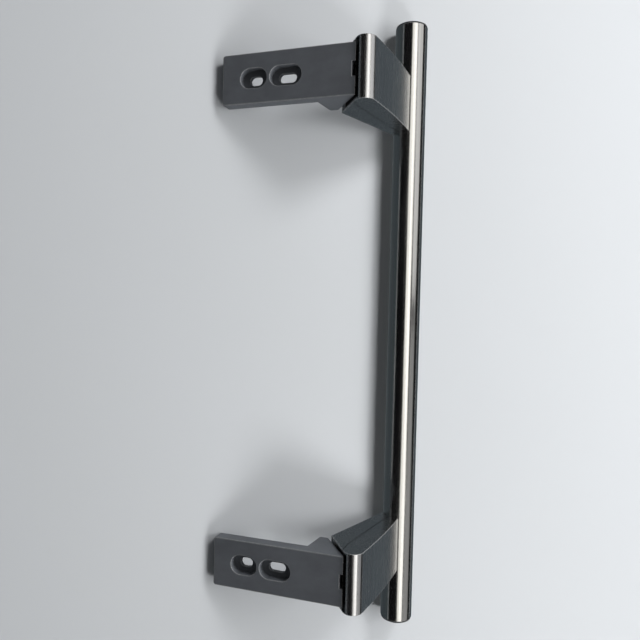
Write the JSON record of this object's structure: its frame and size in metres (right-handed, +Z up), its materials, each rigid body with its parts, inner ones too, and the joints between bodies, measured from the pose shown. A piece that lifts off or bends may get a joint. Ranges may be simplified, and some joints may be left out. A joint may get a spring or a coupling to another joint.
{
  "type": "refrigerator door handle",
  "caption": "Round steel bar handle on two levers, each hinged to a slotted base plate that is screwed to the door's narrow side.",
  "frame": {"origin": "middle of the four screw slots, on the face that lies against the door's narrow side", "axes": "+Z up along the bar as it hangs on the door, +X out of the door's front, +Y across the door, away from its handle edge"},
  "size_m": [0.1172, 0.0896, 0.416],
  "materials": {
    "bar_steel": "brushed along the bar",
    "brushed_steel": "brushed sheet, satin cheeks",
    "grey_plastic": "fine moulded grain",
    "black_plastic": "moulded",
    "plated_steel": "zinc plated"
  },
  "bodies": {
    "door_mount": {"base_plate_top": "grey_plastic", "base_plate_bottom": "grey_plastic", "hinge_pin_top": "plated_steel", "hinge_pin_bottom": "plated_steel"},
    "handle": {"grip_bar": "bar_steel", "lever_shell_top": "brushed_steel", "lever_shell_bottom": "brushed_steel", "tail_shell_top": "brushed_steel", "tail_shell_bottom": "brushed_steel", "lever_core_top": "black_plastic", "lever_core_bottom": "black_plastic", "bar_screw_top": "plated_steel", "bar_screw_bottom": "plated_steel", "thread_slug_top": "plated_steel", "thread_slug_bottom": "plated_steel", "end_cap_top": "black_plastic", "end_cap_bottom": "black_plastic"}
  },
  "joints": [
    {"name": "lever_swing", "type": "hinge", "parent": "door_mount", "child": "handle", "pos_m": [0.05171, 0.00495, 0], "axis": [0, 0, -1], "range_deg": [0, 8]}
  ]
}
